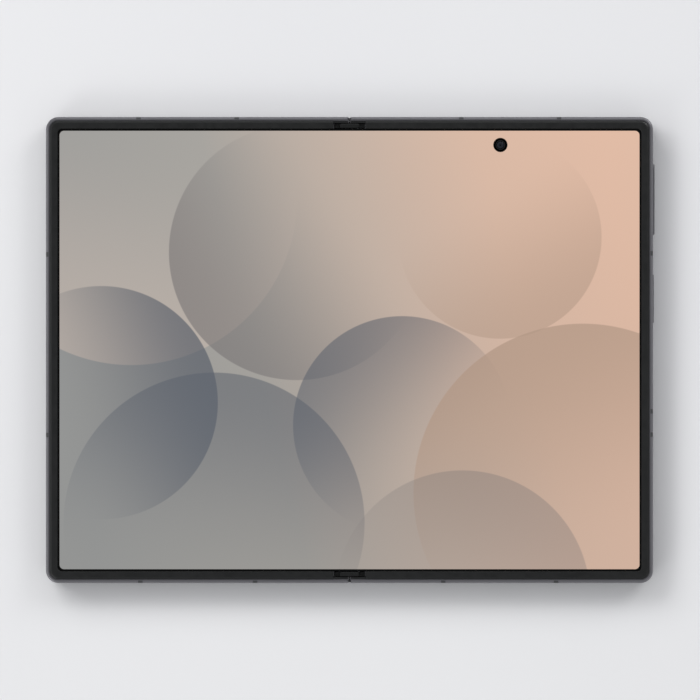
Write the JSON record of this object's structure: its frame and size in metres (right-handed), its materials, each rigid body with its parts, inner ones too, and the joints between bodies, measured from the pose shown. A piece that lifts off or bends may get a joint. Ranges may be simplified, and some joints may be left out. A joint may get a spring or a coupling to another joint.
{
  "type": "foldable smartphone",
  "caption": "Book-style foldable phone, opened flat, with a geared hinge, a folding inner display, an outer display, press keys and a sliding tray.",
  "frame": {"origin": "on the hinge's centre line, at mid height, on the plane of the rear camera rings' faces", "axes": "+X from the hinge to the edge with the keys, +Y to the top edge, +Z out of the inner display"},
  "size_m": [0.1619, 0.1238, 0.0065],
  "materials": {
    "graphite_metal": "graphite anodised, satin",
    "ring_metal": "turned and anodised, satin",
    "bezel_plastic": "charcoal, fine matte",
    "antenna_plastic": "dark grey, matte",
    "back_glass": "slate, frosted, opaque coating behind",
    "outer_glass": "polished black",
    "display_warm": "soft display film, glossy",
    "display_cool": "soft display film, glossy",
    "display_middle": "soft display film, glossy",
    "lens_glass": "coated, polished",
    "flash_lens": "frosted",
    "hinge_steel": "sintered and tumbled",
    "fastener_steel": "plain",
    "module_plastic": "black, matte",
    "panel_glass": "laminated panel",
    "battery_foil": "wrapped pouch",
    "board": "solder mask",
    "copper": "enamelled copper",
    "ribbon_film": "amber film"
  },
  "bodies": {
    "main_half": {"main_frame": "graphite_metal", "main_bands": "antenna_plastic", "main_bezel": "bezel_plastic", "main_back_glass": "back_glass", "camera_island": "graphite_metal", "camera_rings": "ring_metal", "camera_glasses": "lens_glass", "flash_window": "flash_lens", "rear_cameras": "module_plastic", "inner_camera": "module_plastic", "inner_camera_lens": "lens_glass", "main_battery": "battery_foil", "main_board": "board", "main_shields": "fastener_steel", "charging_board": "board", "usb_port": "fastener_steel", "loudspeaker": "module_plastic", "vibration_motor": "fastener_steel", "charging_coil": "copper", "key_switches": "module_plastic", "main_magnets": "fastener_steel", "main_hinge_leaves": "hinge_steel", "main_wing_pins": "hinge_steel", "main_screws": "fastener_steel", "main_display": "display_warm"},
    "spine": {"spine_cover": "graphite_metal", "hinge_blocks": "hinge_steel", "gear_shafts": "hinge_steel", "cam_bridges": "hinge_steel", "detent_springs": "hinge_steel", "centre_plate": "hinge_steel", "hinge_end_caps": "bezel_plastic", "display_fold": "display_middle", "hinge_ribbons": "ribbon_film"},
    "cover_half": {"cover_frame": "graphite_metal", "cover_bands": "antenna_plastic", "cover_bezel": "bezel_plastic", "cover_glass": "outer_glass", "cover_panel": "panel_glass", "cover_camera": "module_plastic", "earpiece": "module_plastic", "cover_battery": "battery_foil", "cover_board": "board", "cover_shields": "fastener_steel", "cover_magnets": "fastener_steel", "cover_hinge_leaves": "hinge_steel", "cover_wing_pins": "hinge_steel", "cover_screws": "fastener_steel", "cover_display": "display_cool"},
    "main_swing_arms": {"main_swing_arms": "hinge_steel"},
    "cover_swing_arms": {"cover_swing_arms": "hinge_steel"},
    "main_idler_gears": {"main_idler_gears": "hinge_steel"},
    "cover_idler_gears": {"cover_idler_gears": "hinge_steel"},
    "main_wing": {"main_wing": "hinge_steel"},
    "cover_wing": {"cover_wing": "hinge_steel"},
    "volume_key": {"volume_key": "graphite_metal"},
    "side_key": {"side_key": "graphite_metal"},
    "sim_tray": {"sim_tray": "graphite_metal"}
  },
  "joints": [
    {"name": "fold", "type": "hinge", "parent": "main_half", "child": "spine", "pos_m": [0.00135, 0, 0.0052], "axis": [0, 1, 0], "range_deg": [0, 90], "deforming": ["display_fold", "hinge_ribbons"]},
    {"name": "cover_fold", "type": "hinge", "parent": "spine", "child": "cover_half", "pos_m": [-0.00135, 0, 0.0052], "axis": [0, 1, 0], "range_deg": [0, 90]},
    {"name": "main_arm_swing", "type": "hinge", "parent": "spine", "child": "main_swing_arms", "pos_m": [0.00225, 0, 0.0043], "axis": [0, 1, 0], "range_deg": [-90, 0]},
    {"name": "cover_arm_swing", "type": "hinge", "parent": "spine", "child": "cover_swing_arms", "pos_m": [-0.00225, 0, 0.0043], "axis": [0, 1, 0], "range_deg": [0, 90]},
    {"name": "main_idler_spin", "type": "hinge", "parent": "spine", "child": "main_idler_gears", "pos_m": [0.00075, 0, 0.0043], "axis": [0, 1, 0], "range_deg": [0, 90]},
    {"name": "cover_idler_spin", "type": "hinge", "parent": "spine", "child": "cover_idler_gears", "pos_m": [-0.00075, 0, 0.0043], "axis": [0, 1, 0], "range_deg": [-90, 0]},
    {"name": "main_wing_tilt", "type": "hinge", "parent": "main_half", "child": "main_wing", "pos_m": [0.0073, 0, 0.0048], "axis": [0, 1, 0], "range_deg": [-20, 0]},
    {"name": "cover_wing_tilt", "type": "hinge", "parent": "cover_half", "child": "cover_wing", "pos_m": [-0.0073, 0, 0.0048], "axis": [0, 1, 0], "range_deg": [0, 20]},
    {"name": "volume_press", "type": "slide", "parent": "main_half", "child": "volume_key", "axis": [-1, 0, 0], "range_m": [0, 0.0002], "stiffness_N_per_m": 8000},
    {"name": "side_key_press", "type": "slide", "parent": "main_half", "child": "side_key", "axis": [-1, 0, 0], "range_m": [0, 0.0002], "stiffness_N_per_m": 8000},
    {"name": "tray_slide", "type": "slide", "parent": "cover_half", "child": "sim_tray", "axis": [-1, 0, 0], "range_m": [0, 0.02]}
  ],
  "couplings": [
    {"joint": "cover_fold", "follows": "fold", "ratio": 1},
    {"joint": "main_arm_swing", "follows": "fold", "ratio": -1},
    {"joint": "cover_arm_swing", "follows": "fold", "ratio": 1},
    {"joint": "main_idler_spin", "follows": "fold", "ratio": 1},
    {"joint": "cover_idler_spin", "follows": "fold", "ratio": -1},
    {"joint": "main_wing_tilt", "follows": "fold", "ratio": -0.22222},
    {"joint": "cover_wing_tilt", "follows": "fold", "ratio": 0.22222}
  ]
}
